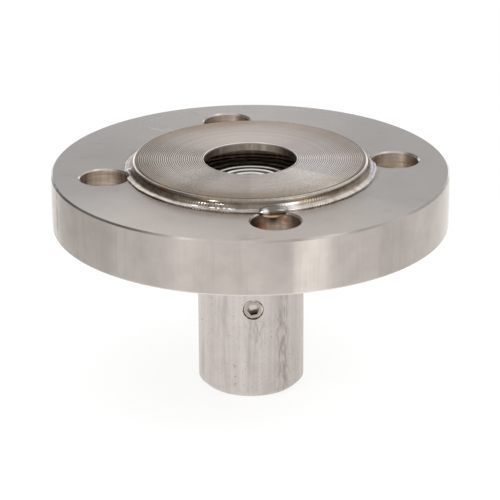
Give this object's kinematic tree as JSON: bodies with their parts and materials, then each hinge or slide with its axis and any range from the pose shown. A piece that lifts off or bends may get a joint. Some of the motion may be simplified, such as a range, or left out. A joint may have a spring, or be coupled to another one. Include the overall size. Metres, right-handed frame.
{
  "type": "gauge diaphragm seal",
  "caption": "Flanged diaphragm seal: a bolt-on steel ring welded round a raised gasket face, a corrugated foil inside the port, and a plain round stem below for a pressure gauge.",
  "frame": {"origin": "centre of the stem's foot, on the surface that the seal stands on", "axes": "+Z along the stem up to the gasket face; the bolt holes lie on +X, +Y, -X and -Y"},
  "size_m": [0.115, 0.115, 0.0692],
  "materials": {
    "turned_steel": "fine turned stainless steel",
    "gasket_face_steel": "spiral grooved stainless steel with a light heat tint",
    "foil_steel": "bright rolled stainless foil",
    "bar_steel": "drawn stainless bar with lengthwise streaks",
    "weld_steel": "rippled weld bead with heat tint",
    "screw_steel": "plain stainless set screw",
    "pad_copper": "soft annealed copper"
  },
  "bodies": {
    "root": {"flange": "turned_steel", "process_ring": "gasket_face_steel", "diaphragm": "foil_steel", "backing_disc": "turned_steel", "stem": "bar_steel", "sealing_pad": "pad_copper", "fill_screw": "screw_steel", "face_weld": "weld_steel", "stem_weld": "weld_steel"}
  },
  "joints": []
}
